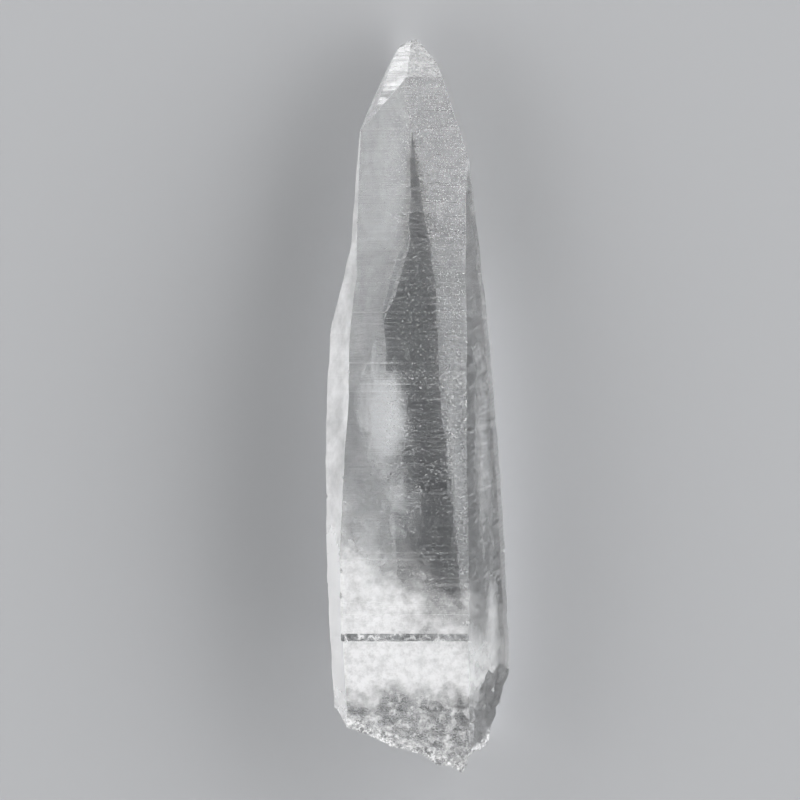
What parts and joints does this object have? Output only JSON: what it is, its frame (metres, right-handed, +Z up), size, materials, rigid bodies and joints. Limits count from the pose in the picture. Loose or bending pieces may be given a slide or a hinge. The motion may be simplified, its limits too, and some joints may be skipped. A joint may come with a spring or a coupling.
{
  "type": "lemurian quartz crystal",
  "caption": "Clear quartz point lying on its narrow back face: one long, tapering crystal with stepped growth ledges, a faceted tip and a broken, milky base.",
  "frame": {"origin": "on the plane it rests on, under the middle of its bounding box", "axes": "+Y along the crystal to its tip, +X to the right as seen from above with the tip up, +Z up, away from the narrow back face it rests on"},
  "size_m": [0.0302, 0.1208, 0.024],
  "materials": {
    "clear_quartz": "clear, colourless quartz with a vitreous skin, faint growth lines across the faces and a milky broken base"
  },
  "bodies": {
    "root": {"quartz_crystal": "clear_quartz"}
  },
  "joints": []
}
